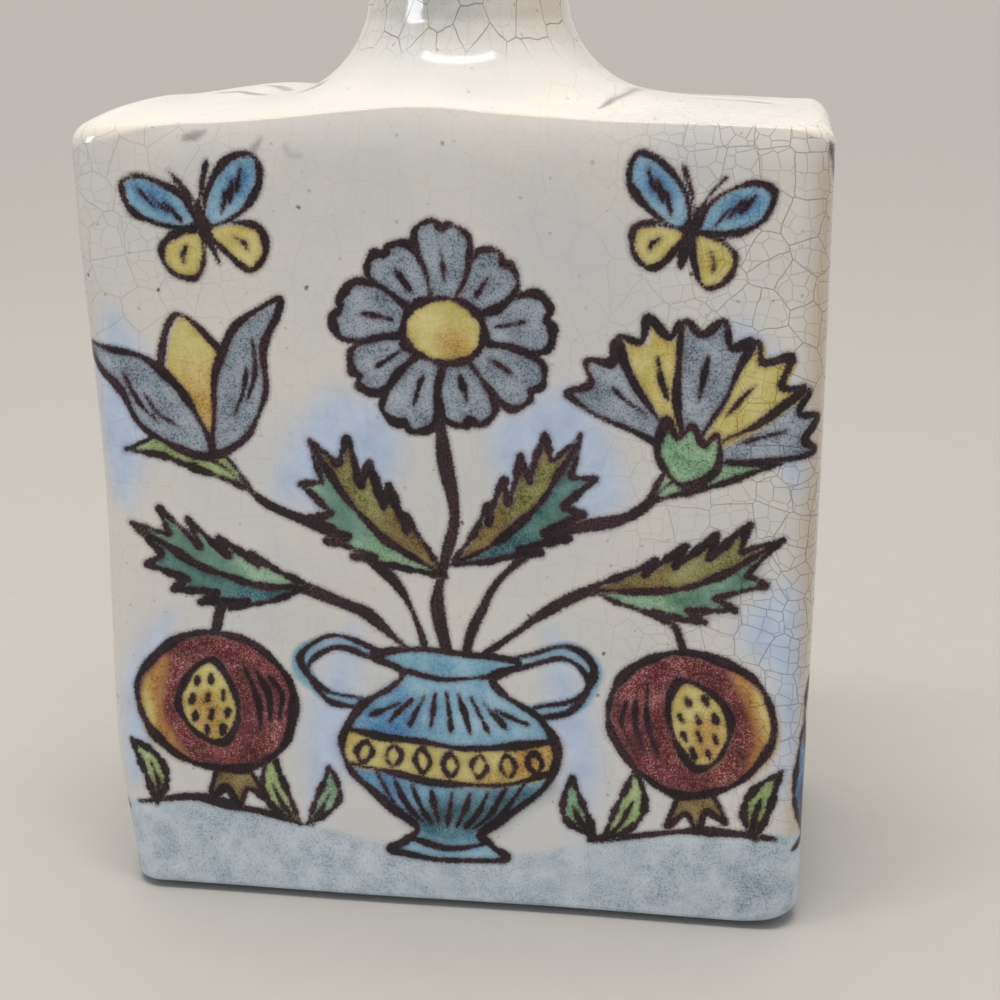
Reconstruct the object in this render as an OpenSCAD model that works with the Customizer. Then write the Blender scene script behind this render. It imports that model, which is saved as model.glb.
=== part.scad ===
// Slab-built bottle vase: a flat four-sided body, a shoulder slab with a pulled-up collar, and a thrown neck.
// The vase stands on the XY plane with its painted front facing -Y; the neck's axis is the Z axis. All in mm.

/* [Body] */
// Width of the body across its painted front
body_w = 100; // [90:1:140]
// Depth of the body from front to back
body_d = 50; // [48:1:70]
// Height of the shoulder above the resting surface, at its left and right edges
body_h = 112.4; // [80:0.1:160]
// Thickness of the four wall slabs
wall_t = 5; // [4:0.5:6]
// Radius of the four upright edges
edge_r = 5; // [3:0.5:8]

/* [Foot] */
// Thickness of the base slab
base_t = 6; // [5:0.5:9]
// How far the base slab stands proud below the walls
foot_h = 1; // [0.5:0.5:3]

/* [Shoulder] */
// Thickness of the shoulder slab at its left and right edges
shoulder_t = 6.5; // [6:0.5:9]
// Rise of the shoulder from its left and right edges to its middle
crown_h = 1.1; // [0.5:0.1:3]
// Radius of the shoulder's left and right top edges
top_edge_r = 5.5; // [2:0.5:5.5]
// Height above the shoulder's middle of the collar that is pulled up round the hole for the neck
collar_h = 5.5; // [3:0.5:8]
// Radius at which the collar's sloping skirt runs out into the shoulder
skirt_r = 30.7; // [28:0.1:36]
// Slope of the skirt in degrees
skirt_a = 14; // [8:1:20]
// Radius of the concave flare that runs from the skirt into the neck
flare_r = 15; // [12:0.5:16]

/* [Neck] */
// Outer radius of the neck at its throat
throat_r = 13.4; // [12:0.1:16]
// Thickness of the neck's wall
neck_t = 3.5; // [3:0.5:5]
// Height of the lip above the throat
mouth_h = 22.5; // [12:0.5:38]
// Radius of the mouth's outward sweep
sweep_r = 60; // [45:5:120]
// Wall of the spigot that sits in the collar
spigot_t = 3; // [2.5:0.5:3.5]

/* [Seams] */
// Gap for the slip between the spigot and the collar
slip_gap = 0.1; // [0.05:0.05:0.3]
// Radius of the coils pressed into the inside corners of the walls
seam_coil_r = 4; // [2:0.5:6]
// Radius of the coil pressed round the spigot under the shoulder
neck_coil_r = 3; // [2:0.5:4]
// Thickness left at the smoothed-out edges of every coil
coil_edge = 0.4; // [0.2:0.1:0.8]

/* [Hidden] */
$fn = 96;
// Inside width and depth between the walls
inner_w = body_w - 2 * wall_t;
inner_d = body_d - 2 * wall_t;
// Height of the seam between the walls and the shoulder
wall_top = body_h - shoulder_t;
// Height of the shoulder's middle, half the width of its crown, and the flat strips on each side that draw it
mid_h = body_h + crown_h;
crown_span = body_w / 2 - top_edge_r;
crown_strips = 8;
// The flare's arc dips about this far under the skirt, so that the two meet at a clean edge
flare_sink = 0.03;
// Centre of the flare's arc: upright at the throat, tangent to the skirt but for its dip, in whole hundredths
flare_c = throat_r + flare_r;
skirt_z = mid_h + (skirt_r - flare_c) * tan(skirt_a);
throat_z = round(100 * (skirt_z + flare_r / cos(skirt_a) - flare_sink)) / 100;
// Where the flare leaves the skirt
leave_r = flare_c - flare_r * sin(skirt_a);
leave_z = mid_h + (skirt_r - leave_r) * tan(skirt_a);
// Height of the seam between collar and neck
collar_top = mid_h + collar_h;
// Bore of the neck, outside of its spigot, and the hole that takes it
bore_r = throat_r - neck_t;
spigot_r = bore_r + spigot_t;
hole_r = spigot_r + slip_gap;
// The spigot reaches below the shoulder by the height of the coil that locks it
spigot_z = wall_top - neck_coil_r;
// Centre of the mouth's sweep, and the angle at which the lip closes it
sweep_c = throat_r + sweep_r;
lip_a = asin((mouth_h - neck_t / 2) / (sweep_r + neck_t / 2));

// Outline of the body from above
module plan_2d() {
  square([body_w - 2 * edge_r, body_d], center = true);
  square([body_w, body_d - 2 * edge_r], center = true);
  for (sx = [-1, 1])
    for (sy = [-1, 1])
      translate([sx * (body_w / 2 - edge_r), sy * (body_d / 2 - edge_r)])
        circle(edge_r);
}

// One wall slab: the part of the outline between the mitres of a side that is len long and away from the middle
module wall_slab(len, away, turn) {
  translate([0, 0, foot_h])
    linear_extrude(height = wall_top - foot_h)
      intersection() {
        plan_2d();
        rotate(turn)
          polygon([[-len / 2, -away], [len / 2, -away],
                   [len / 2 - wall_t, wall_t - away], [wall_t - len / 2, wall_t - away]]);
      }
}

// Height of the shoulder's crown at a part f of its half width: a parabola
function crown_z(f) = mid_h - crown_h * f * f;

// Shoulder plate from the front: a low arch between two rounded top corners
module plate_2d() {
  translate([-body_w / 2, wall_top])
    square([body_w, shoulder_t - top_edge_r]);
  polygon(concat([[crown_span, wall_top], [-crown_span, wall_top]],
                 [for (i = [-crown_strips : crown_strips])
                   [crown_span * i / crown_strips, crown_z(i / crown_strips)]]));
  for (sx = [-1, 1])
    translate([sx * crown_span, body_h - top_edge_r])
      circle(top_edge_r);
}

// Half section of the collar: the skirt runs down into the plate, and the flare rises from it to the collar's top
module collar_2d() {
  polygon([[0, wall_top], [skirt_r, wall_top], [skirt_r + crown_h / tan(skirt_a), body_h],
           [leave_r, leave_z], [0, leave_z]]);
  difference() {
    translate([0, wall_top])
      square([flare_c, collar_top - wall_top]);
    translate([flare_c, throat_z])
      circle(flare_r);
  }
}

// Half section of the neck: spigot, flare, sweep of the mouth and rounded lip
module neck_2d() {
  translate([bore_r, spigot_z])
    square([spigot_t, collar_top - spigot_z]);
  difference() {
    translate([bore_r, collar_top])
      square([flare_r, throat_z - collar_top]);
    translate([flare_c, throat_z])
      circle(flare_r);
  }
  intersection() {
    translate([sweep_c, throat_z])
      difference() {
        circle(sweep_r + neck_t);
        circle(sweep_r);
      }
    polygon([[sweep_c, throat_z], [sweep_c - 2 * sweep_r, throat_z],
             [sweep_c - 2 * sweep_r, throat_z + 2 * sweep_r * tan(lip_a)]]);
  }
  translate([sweep_c - (sweep_r + neck_t / 2) * cos(lip_a), throat_z + (sweep_r + neck_t / 2) * sin(lip_a)])
    circle(neck_t / 2);
}

// Section of a coil smoothed into a corner that lies at the origin and opens to +X and +Y
module coil_2d(r) {
  difference() {
    square(r);
    translate([r, r])
      circle(r - coil_edge);
  }
}

// Coil in an upright inside corner, on the side given by two signs
module corner_coil(sx, sy) {
  translate([sx * inner_w / 2, sy * inner_d / 2, base_t])
    linear_extrude(height = wall_top - base_t)
      scale([-sx, -sy])
        coil_2d(seam_coil_r);
}

// Room left above the base coil across one inside length
module coil_room_2d(len) {
  translate([seam_coil_r - len / 2, base_t - seam_coil_r])
    square([len - 2 * seam_coil_r, 3 * seam_coil_r]);
  for (s = [-1, 1])
    translate([s * (len / 2 - seam_coil_r), base_t + seam_coil_r])
      circle(seam_coil_r - coil_edge);
}

module base_slab() {
  color("#b08a64")
    translate([-inner_w / 2, -inner_d / 2, 0])
      cube([inner_w, inner_d, base_t]);
}

module front_wall() {
  color("#d8d2c4")
    wall_slab(body_w, body_d / 2, 0);
}

module back_wall() {
  color("#d0cabd")
    wall_slab(body_w, body_d / 2, 180);
}

module left_wall() {
  color("#c6bfb0")
    wall_slab(body_d, body_w / 2, -90);
}

module right_wall() {
  color("#c6bfb0")
    wall_slab(body_d, body_w / 2, 90);
}

// The plate and the collar, both cut to the outline of the body, so that the skirt lifts the front and back edges
module shoulder_slab() {
  color("#e4decf")
    difference() {
      intersection() {
        translate([0, 0, wall_top])
          linear_extrude(height = collar_top - wall_top)
            plan_2d();
        union() {
          rotate([90, 0, 0])
            linear_extrude(height = 2 * body_d, center = true)
              plate_2d();
          rotate_extrude()
            collar_2d();
        }
      }
      translate([0, 0, wall_top - shoulder_t])
        cylinder(r = hole_r, h = 3 * shoulder_t + collar_top - wall_top);
    }
}

module neck() {
  color("#e8e2d4")
    rotate_extrude()
      neck_2d();
}

// One loop of coil round the base, notched at the corners where the upright coils stand
module base_coil() {
  color("#a98560")
    difference() {
      translate([-inner_w / 2, -inner_d / 2, base_t])
        cube([inner_w, inner_d, seam_coil_r]);
      intersection() {
        rotate([90, 0, 0])
          linear_extrude(height = 2 * body_d, center = true)
            coil_room_2d(inner_w);
        rotate([90, 0, 90])
          linear_extrude(height = 2 * body_w, center = true)
            coil_room_2d(inner_d);
      }
      for (sx = [-1, 1])
        for (sy = [-1, 1])
          corner_coil(sx, sy);
    }
}

module front_left_coil() {
  color("#a98560")
    corner_coil(-1, -1);
}

module front_right_coil() {
  color("#a98560")
    corner_coil(1, -1);
}

module back_left_coil() {
  color("#a98560")
    corner_coil(-1, 1);
}

module back_right_coil() {
  color("#a98560")
    corner_coil(1, 1);
}

module neck_coil() {
  color("#a98560")
    rotate_extrude()
      translate([spigot_r, wall_top])
        scale([1, -1])
          coil_2d(neck_coil_r);
}

base_slab();
front_wall();
back_wall();
left_wall();
right_wall();
shoulder_slab();
neck();
base_coil();
front_left_coil();
front_right_coil();
back_left_coil();
back_right_coil();
neck_coil();
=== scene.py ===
import bpy
import numpy as np
from mathutils import Matrix, Vector


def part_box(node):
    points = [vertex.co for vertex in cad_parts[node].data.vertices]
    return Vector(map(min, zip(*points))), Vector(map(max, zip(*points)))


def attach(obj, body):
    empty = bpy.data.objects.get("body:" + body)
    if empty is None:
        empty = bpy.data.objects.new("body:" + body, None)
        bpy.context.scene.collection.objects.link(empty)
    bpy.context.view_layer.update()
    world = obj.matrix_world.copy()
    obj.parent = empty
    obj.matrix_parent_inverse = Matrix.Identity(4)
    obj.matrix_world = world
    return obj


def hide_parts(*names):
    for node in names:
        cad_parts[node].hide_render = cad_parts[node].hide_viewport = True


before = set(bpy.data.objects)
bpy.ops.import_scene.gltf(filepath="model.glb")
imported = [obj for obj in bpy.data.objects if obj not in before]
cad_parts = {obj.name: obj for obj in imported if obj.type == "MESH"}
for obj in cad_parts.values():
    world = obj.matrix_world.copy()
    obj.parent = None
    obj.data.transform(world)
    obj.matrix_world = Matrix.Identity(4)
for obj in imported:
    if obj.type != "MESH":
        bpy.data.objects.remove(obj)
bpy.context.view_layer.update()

mm = 0.001  # the script works in millimetres, Blender in metres


# a node's lowest and highest corner in millimetres
def boxMm(node):
    low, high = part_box(node)
    return np.array(low) / mm, np.array(high) / mm


# eases from 0 to 1 between two values: 3t² - 2t³
def smooth(value, start, end):
    t = np.clip((value - start) / (end - start), 0, 1)
    return t * t * (3 - 2 * t)


# the larger of two heights with a rounded inside corner of about the given size
def smoothMax(a, b, size):
    h = np.clip(0.5 + 0.5 * (a - b) / size, 0, 1)
    return b + (a - b) * h + size * h * (1 - h)


# sRGB hex to linear: below 0.04045 divide by 12.92, above it a 2.4 power
def linear(hexColour):
    c = np.array([int(hexColour[i:i + 2], 16) for i in (1, 3, 5)]) / 255
    return np.where(c <= 0.04045, c / 12.92, ((c + 0.055) / 1.055) ** 2.4)


# the same with full cover, as a colour socket takes it
def rgba(hexColour):
    return (*linear(hexColour), 1.0)


# sizes of the vase in millimetres: the parts in model.glb give the outer ones, the last two are the clay's
# own
wallLow, wallHigh = boxMm("front_wall")
neckLow, neckHigh = boxMm("neck")
vase = dict(
    halfW=boxMm("right_wall")[1][0], halfD=-wallLow[1], foot=wallLow[2], wallTop=wallHigh[2],
    collarTop=boxMm("shoulder_slab")[1][2], spigotZ=neckLow[2], wallT=5.0, cornerR=5.0)


# how far the potter's hand strays, in mm: the left wall's bow, its wave and its tuck at the foot, the
# ripple of the sides, the slow and quick waves of front and back, and the uneven crest
hand = dict(bow=0.20, bowWave=0.42, tuck=1.05, ripple=0.12, wave=0.30, quickWave=0.12, crest=0.22)


# the hand-made look: the left wall bows out low and high but is tucked in at the foot, and every face is a
# little wavy; each is a cosine or an eased step of the height
def handMade(p):
    x, y, z = p[..., 0], p[..., 1], p[..., 2]
    bow = hand["bow"] + hand["bowWave"] * np.cos(2 * np.pi * (z - 22) / 83)
    bow = (bow - hand["tuck"] * (1 - smooth(z, 5, 24))) * smooth(-x, 12, 50)
    fade = 1 - smooth(z, 112, 122)
    dx = (hand["ripple"] * np.sin(z / 17 + y / 9) - bow) * fade
    dy = hand["wave"] * np.sin(x / 19 + 0.6) * np.sin(z / 25 + 0.4)
    dy = (dy + hand["quickWave"] * np.sin(x / 8.3 - z / 11)) * fade
    dz = hand["crest"] * np.sin(x / 13 + 0.8) * np.cos(y / 16) * smooth(z, 104, 112) * fade
    return p + np.stack([dx, dy, dz], -1)


print("stage: body outline")
# columns round the body: each wall runs from mitre to mitre as half a corner arc, a flat and half an arc
arcColumns = 12
flatColumns = dict(front=264, right=114, back=264, left=114)
wallNames = list(flatColumns)
turnOf = dict(front=(0, -1), right=(1, 0), back=(0, 1), left=(-1, 0))  # where each wall faces


# one wall's half width, its distance from the middle, and its outward and sideways directions
def wallPlace(name):
    out = np.array(turnOf[name], float)
    side = np.array([-out[1], out[0]])
    sizes = vase["halfW"], vase["halfD"]
    half, away = sizes if name in ("front", "back") else sizes[::-1]
    return half, away, out, side


# one wall's columns: the line that its corner radius stands on, its outward direction and its arc length
def wallColumns(name):
    half, away, out, side = wallPlace(name)
    r = vase["cornerR"]
    arc = np.linspace(-np.pi / 4, 0, arcColumns + 1)[:-1]
    angle = np.concatenate([arc, np.zeros(flatColumns[name]), np.linspace(0, np.pi / 4, arcColumns + 1)])
    flat = np.linspace(r - half, half - r, flatColumns[name] + 1)[:-1]
    along = np.concatenate([np.full(arcColumns, r - half), flat, np.full(arcColumns + 1, half - r)])
    base = along[:, None] * side + (away - r) * out
    facing = np.sin(angle)[:, None] * side + np.cos(angle)[:, None] * out
    return base, facing, along + r * angle


columns = {name: wallColumns(name) for name in wallNames}
ringBase = np.vstack([columns[name][0][:-1] for name in wallNames])
ringFacing = np.vstack([columns[name][1][:-1] for name in wallNames])
ringCount = len(ringBase)
wallStart = dict(zip(wallNames, np.cumsum([0] + [len(columns[n][0]) - 1 for n in wallNames])))
wallSpan = {name: columns[name][2][-1] - columns[name][2][0] for name in wallNames}
ringLength = sum(wallSpan.values())
wallMiddle = dict(zip(wallNames, np.cumsum([0] + [0.5 * (wallSpan[a] + wallSpan[b])
                                                  for a, b in zip(wallNames, wallNames[1:])])))
ringS = np.concatenate([columns[name][2][:-1] + wallMiddle[name] for name in wallNames])


# the outline set in from the outer face by a depth: the corner radius shrinks by it
def outline(depth):
    return ringBase + ringFacing * (vase["cornerR"] - depth)[..., None]


print("stage: shoulder form")
shoulder = dict(edgeZ=112.4, crown=1.1, crownHalf=44.5, crestR=0.5, sideR=(3.5, 2.7), skirtR=30.7,
                skirtSlope=np.tan(np.radians(14)), blend=1.7,
                bandRows=14, arcRows=14, topRows=80, holeRows=5,
                fuller=(1.4, 0.9), swell=1.5, narrower=(1.0, 3.8), dip=0.25, tilt=0.32)
neck = dict(throatR=13.4, flareR=15.0, wall=3.5, sweepR=60.0, lipTop=neckHigh[2], spigotT=3.0, gap=0.1)
neck["flareC"] = neck["throatR"] + neck["flareR"]
shoulder["midZ"] = shoulder["edgeZ"] + shoulder["crown"]
neck["throatZ"] = (shoulder["midZ"] + (shoulder["skirtR"] - neck["flareC"]) * shoulder["skirtSlope"]
                   + neck["flareR"] * np.hypot(1, shoulder["skirtSlope"]))
neck["collarR"] = neck["flareC"] - np.sqrt(neck["flareR"] ** 2 - (neck["throatZ"] - vase["collarTop"]) ** 2)


# top of the shoulder: a parabola across, met by the collar, whose skirt is a cone and whose flare is an
# arc; the soft clay stands fuller between front and back and swells at the back left, and the skirt is
# narrower at the front
def topHeight(xy):
    x, y = xy[..., 0], xy[..., 1]
    arch = shoulder["midZ"] - shoulder["crown"] * np.minimum(np.abs(x) / shoulder["crownHalf"], 1) ** 2
    fuller = shoulder["fuller"][0] * smooth(-x, 8, 34) + shoulder["fuller"][1] * smooth(x, 8, 34)
    arch = arch + fuller * (1 - (y / vase["halfD"]) ** 2)
    arch = arch + shoulder["swell"] * np.exp(-((x + 31) / 11) ** 2) * smooth(y, -10, 20)
    arch = arch - shoulder["dip"] * smooth(-x, 8, 28) * smooth(-y, 8, 24)
    r = np.hypot(x, y)
    narrower = shoulder["narrower"][0] * smooth(-x, -6, 8) + shoulder["narrower"][1] * smooth(x, -6, 8)
    r = r + narrower * smooth(-y, 6, 22) * smooth(r, neck["collarR"], 26)
    skirt = shoulder["midZ"] + (shoulder["skirtR"] - r) * shoulder["skirtSlope"]
    inFlare = np.clip(neck["flareC"] - r, 0, neck["flareR"])
    flare = neck["throatZ"] - np.sqrt(neck["flareR"] ** 2 - inFlare ** 2)
    leave = neck["flareC"] - neck["flareR"] * np.sin(np.arctan(shoulder["skirtSlope"]))
    return smoothMax(arch, np.where(r < leave, flare, skirt), shoulder["blend"])


# radius of the shoulder's top edge round the body: a crisp crest along the front and back that opens
# towards the corners, sooner at the front's left end, into the wide round of the sides
def topEdge():
    fromFront = (ringS - wallMiddle["front"] + 0.5 * ringLength) % ringLength - 0.5 * ringLength
    left = fromFront < 0
    front = smooth(np.abs(fromFront), np.where(left, 34, 44), 51)
    back = smooth(0.5 * ringLength - np.abs(fromFront), 42, 51)
    side = np.where(left, *shoulder["sideR"])
    return shoulder["crestR"] + (side - shoulder["crestR"]) * np.minimum(front, back)


# rows of the walls: a quarter round at the foot, wider towards the right edge, then straight up to the seam
footRows, wallRows = 6, 300
footR = 0.9 + 1.9 * smooth(ringBase[:, 0] + ringFacing[:, 0] * vase["cornerR"], 41, 50)
turn = np.linspace(-np.pi / 2, 0, footRows + 1)[:-1, None]
climb = np.linspace(0, 1, wallRows - footRows + 1)[:, None]
wallDepth = np.vstack([footR * (1 - np.cos(turn)), 0 * climb * footR])
wallZ = np.vstack([vase["foot"] + footR * (1 + np.sin(turn)),
                   vase["foot"] + footR + climb * (vase["wallTop"] - vase["foot"] - footR)])
wallXy = np.stack([outline(d) for d in wallDepth])

# rows of the shoulder: an upright band whose front and back lean in with the cube of the height, a round
# edge from the band's tilt to the top's slope, then the top, whose rows crowd towards the edge; the last
# row only helps the normals
edgeR = topEdge()
tilt = shoulder["tilt"] * ringFacing[:, 1] ** 2 * shoulder["crestR"] / edgeR
lean = tilt * (topHeight(outline(0 * edgeR)) - vase["wallTop"] - edgeR) / 3
fall = (topHeight(outline(lean + edgeR + 0.4)) - topHeight(outline(lean + edgeR))) / 0.4
edgeStart, edgeEnd = np.arctan(tilt), np.arctan2(1, np.clip(fall, 0, 2))
endXy = outline(lean + edgeR * (np.cos(edgeStart) - np.cos(edgeEnd)))
edgeCentreZ = topHeight(endXy) - edgeR * np.sin(edgeEnd)
band = np.linspace(0, 1, shoulder["bandRows"] + 1)[1:, None]
swing = edgeStart + np.linspace(0, 1, shoulder["arcRows"] + 1)[1:, None] * (edgeEnd - edgeStart)
bandXy = np.stack([outline(d) for d in lean * band ** 3])
bandZ = vase["wallTop"] + band * (edgeCentreZ + edgeR * np.sin(edgeStart) - vase["wallTop"])
arcXy = np.stack([outline(lean + d) for d in edgeR * (np.cos(edgeStart) - np.cos(swing))])
arcZ = edgeCentreZ + edgeR * np.sin(swing)
ringAngle = np.arctan2(endXy[:, 1], endXy[:, 0])
collarXy = neck["collarR"] * np.stack([np.cos(ringAngle), np.sin(ringAngle)], -1)
inward = (np.arange(1, shoulder["topRows"] + 2) / shoulder["topRows"]) ** 1.6
topXy = endXy + (collarXy - endXy) * inward[:, None, None]
upperXy = np.concatenate([bandXy, arcXy, topXy])
upperZ = np.concatenate([bandZ, arcZ, topHeight(topXy)])
bodyXy = np.concatenate([wallXy, upperXy])
bodyZ = np.concatenate([wallZ, upperZ])
bodyGrid = handMade(np.concatenate([bodyXy, bodyZ[..., None]], -1))


# outward normals of a grid that closes along its columns: the cross product of its central differences
def gridNormals(grid):
    across = np.roll(grid, -1, 1) - np.roll(grid, 1, 1)
    up = np.gradient(grid, axis=0)
    n = np.cross(across, up)
    return n / np.linalg.norm(n, axis=-1, keepdims=True)


bodyNormals = gridNormals(bodyGrid)[:-1]
bodyGrid = bodyGrid[:-1]
topFirst = wallRows + shoulder["bandRows"] + shoulder["arcRows"]  # row where the top begins

print("stage: painting")
inkReach = 3.0  # mm: how far from a brush line its distance is kept
# the potter's colours: hue, and how it breaks up (below 0 dark specks, above 0 pale ones)
pigments = dict(
    halo=("#B2C3DC", 0.0), bank=("#BCC6CE", -0.36), petal=("#97A1AB", -0.50), yellow=("#CBBE78", -0.16),
    ochre=("#C39A58", -0.55), olive=("#83733F", -0.40), leaf=("#90B293", -0.42), lime=("#A4B87E", -0.38),
    teal=("#175F66", 0.25), sky=("#86B0C4", 0.16), blue=("#4F86B0", 0.20), oxblood=("#762429", 0.42),
    faded=("#756C78", -0.3))


# smooth curve through all its points: each span blends four neighbouring points with cubic weights
def brushCurve(points, closed=False, perSpan=7):
    p = np.asarray(points, float)
    ends = (p[-1:], p[:2]) if closed else (2 * p[:1] - p[1:2], 2 * p[-1:] - p[-2:-1])
    p = np.vstack([ends[0], p, ends[1]])
    t = np.arange(perSpan)[None, :, None] / perSpan
    a, b, c, d = (p[i:len(p) - 3 + i, None, :] for i in range(4))
    q = 0.5 * (2 * b + (c - a) * t + (2 * a - 5 * b + 4 * c - d) * t ** 2
               + (3 * b - a - 3 * c + d) * t ** 3)
    return np.vstack([q.reshape(-1, 2), p[-2:-1]])


# points turned by an angle, sized, flipped where facing is -1, and moved
def placed(points, at, scale=1.0, turn=0.0, facing=1):
    c, s = np.cos(np.radians(turn)), np.sin(np.radians(turn))
    q = np.asarray(points, float) @ np.array([[c, s], [-s, c]]) * scale
    return q * [facing, 1] + np.asarray(at, float)


# the brush: change of broad strokes' width, then the slow and the quick wave of it
brush = dict(load=-0.14, pressure=0.24, tremble=0.13)


# brush line: full width in the middle, a share of it at both ends, with two waves of the hand's pressure
def line(marks, points, width=1.5, ends=0.55, closed=False, pigment=None, strength=0.9):
    path = brushCurve(points, closed)
    t = np.linspace(0, 1, len(path))
    swell = 1 if closed else ends + (1 - ends) * np.sin(np.pi * t) ** 0.5
    wave = len(path) * t
    touch = (1 + brush["pressure"] * np.sin(0.33 * wave + 1.7 * len(marks))
             + brush["tremble"] * np.sin(0.93 * wave + 2.9 * len(marks)))
    half = 0.5 * width * (1 + brush["load"] * smooth(width, 0.8, 1.4)) * swell * touch
    marks.append(dict(path=path, half=half, pigment=pigment, soft=0.35, strength=strength, covers=False))


# wash: a filled outline that lies a little off its brush lines; a covering one hides the lines under it
def wash(marks, points, pigment, soft=0.35, strength=0.98, covers=False, curved=True, spill=(0.25, -0.2)):
    path = brushCurve(points, True) if curved else np.vstack([points, points[:1]])
    marks.append(dict(path=path + spill, half=None, pigment=pigment, soft=soft, strength=strength,
                      covers=covers))


# distance to a mark, above 0 inside it: clamped projection on each segment and the least over all of them;
# a wash is inside where a ray to the right crosses its outline an odd number of times
def markDistance(mark, u, v):
    a, b = mark["path"][:-1], mark["path"][1:]
    e = b - a
    px, py = u[:, None] - a[:, 0], v[:, None] - a[:, 1]
    t = np.clip((px * e[:, 0] + py * e[:, 1]) / np.maximum((e ** 2).sum(1), 1e-9), 0, 1)
    gap = np.hypot(px - t * e[:, 0], py - t * e[:, 1])
    if mark["half"] is not None:
        return (mark["half"][:-1] * (1 - t) + mark["half"][1:] * t - gap).max(1)
    rises = (a[:, 1] > v[:, None]) != (b[:, 1] > v[:, None])
    left = px < e[:, 0] * py / np.where(e[:, 1] == 0, 1e-9, e[:, 1])
    return np.where((rises & left).sum(1) % 2 == 1, 1, -1) * gap.min(1)


# the hand's unsteadiness: slow and quick sine waves that shift the drawing by up to about half a millimetre
def unsteady(u, v):
    du = 0.34 * np.sin(v / 5.2 + 1.4 * np.sin(u / 8.1)) + 0.13 * np.sin(v / 1.7 + u / 2.4)
    dv = 0.34 * np.sin(u / 4.7 + 1.2 * np.sin(v / 7.3)) + 0.13 * np.sin(u / 1.9 - v / 2.2)
    return u + du, v + dv


# lays the marks in order: washes go over each other by their cover, brush lines keep the greatest distance
def compose(marks, u, v):
    u, v = unsteady(u, v)
    sheet = dict(hue=np.zeros((u.size, 3)), cover=np.zeros(u.size), speck=np.zeros(u.size),
                 ink=np.full(u.size, -inkReach))
    for mark in marks:
        reach = inkReach + mark["soft"]
        low, high = mark["path"].min(0) - reach, mark["path"].max(0) + reach
        near = np.flatnonzero((u > low[0]) & (u < high[0]) & (v > low[1]) & (v < high[1]))
        for part in np.array_split(near, 1 + near.size // 20000):
            d = markDistance(mark, u[part], v[part])
            if mark["pigment"] is None:
                sheet["ink"][part] = np.maximum(sheet["ink"][part], d)
                continue
            hue, speck = pigments[mark["pigment"]]
            a = mark["strength"] * smooth(d, -mark["soft"], mark["soft"])
            under = sheet["cover"][part] * (1 - a)
            share = a / np.maximum(a + under, 1e-9)
            sheet["hue"][part] += (linear(hue) - sheet["hue"][part]) * share[:, None]
            sheet["speck"][part] += (speck - sheet["speck"][part]) * share
            sheet["cover"][part] = a + under
            if mark["covers"]:
                sheet["ink"][part] = np.minimum(sheet["ink"][part], -d)
    return sheet


# midrib of a leaf from stalk to tip, a straight line bent aside by half a sine, and its sideways direction
def midrib(stalk, tip, bend):
    a, b = np.asarray(stalk, float), np.asarray(tip, float)
    along = b - a
    side = np.array([-along[1], along[0]])
    return lambda s: a + along * s + side * bend * np.sin(np.pi * s), side / np.hypot(*side)


# serrated leaf: two toothed edges either side of a bent midrib, a colour on each; the teeth point forward
def paintLeaf(marks, stalk, tip, width, bend=0.0, teeth=4, colours=("olive", "leaf"), inkWidth=1.4):
    spine, unit = midrib(stalk, tip, bend)
    full = lambda s: width * np.sin(np.pi * s ** 0.9) ** 0.7
    rib = [spine(s) for s in np.linspace(0, 1, 7)]
    notches = 0.14 + 0.66 * np.arange(teeth + 1) / teeth
    edges = []
    for sign, colour in zip((1, -1), colours):
        edge = [spine(0.0)]
        for here, ahead in zip(notches, notches[1:]):
            edge.append(spine(here) + unit * sign * full(here) * 0.60)
            edge.append(spine(ahead + 0.07) + unit * sign * full(0.5 * (here + ahead)) * 1.12)
        edge.append(spine(notches[-1]) + unit * sign * full(notches[-1]) * 0.52)
        edge.append(spine(1.0))
        edge = np.vstack([np.linspace(p, q, 3, endpoint=False) for p, q in zip(edge, edge[1:])]
                         + [edge[-1:]])
        wash(marks, np.vstack([edge, rib[::-1]]), colour, covers=True, curved=False)
        tint = [spine(s) + unit * sign * full(s) * w
                for s, w in ((0.40, 0.2), (0.52, 0.8), (0.72, 0.9), (0.86, 0.4), (0.64, 0.1))]
        second, strength = dict(leaf=("teal", 0.6), olive=("lime", 0.3), teal=("leaf", 0.3))[colour]
        wash(marks, tint, second, 1.8, strength)
        edges.append(edge)
    for edge in edges:
        line(marks, edge, inkWidth, 0.65)
    line(marks, rib, inkWidth * 1.1, 0.5)


# plain leaf: a pointed oval with a short midrib
def paintBlade(marks, stalk, tip, width, bend=0.0, colour="leaf", inkWidth=1.3):
    spine, unit = midrib(stalk, tip, bend)
    steps = np.linspace(0, 1, 9)
    left = np.array([spine(s) + unit * width * np.sin(np.pi * s) for s in steps])
    right = np.array([spine(s) - unit * width * np.sin(np.pi * s) for s in steps])
    wash(marks, np.vstack([left, right[::-1]]), colour, covers=True, curved=False)
    line(marks, left, inkWidth, 0.6)
    line(marks, right, inkWidth, 0.6)
    line(marks, [spine(s) for s in (0.0, 0.3, 0.6)], inkWidth * 0.7, 0.4)


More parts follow.
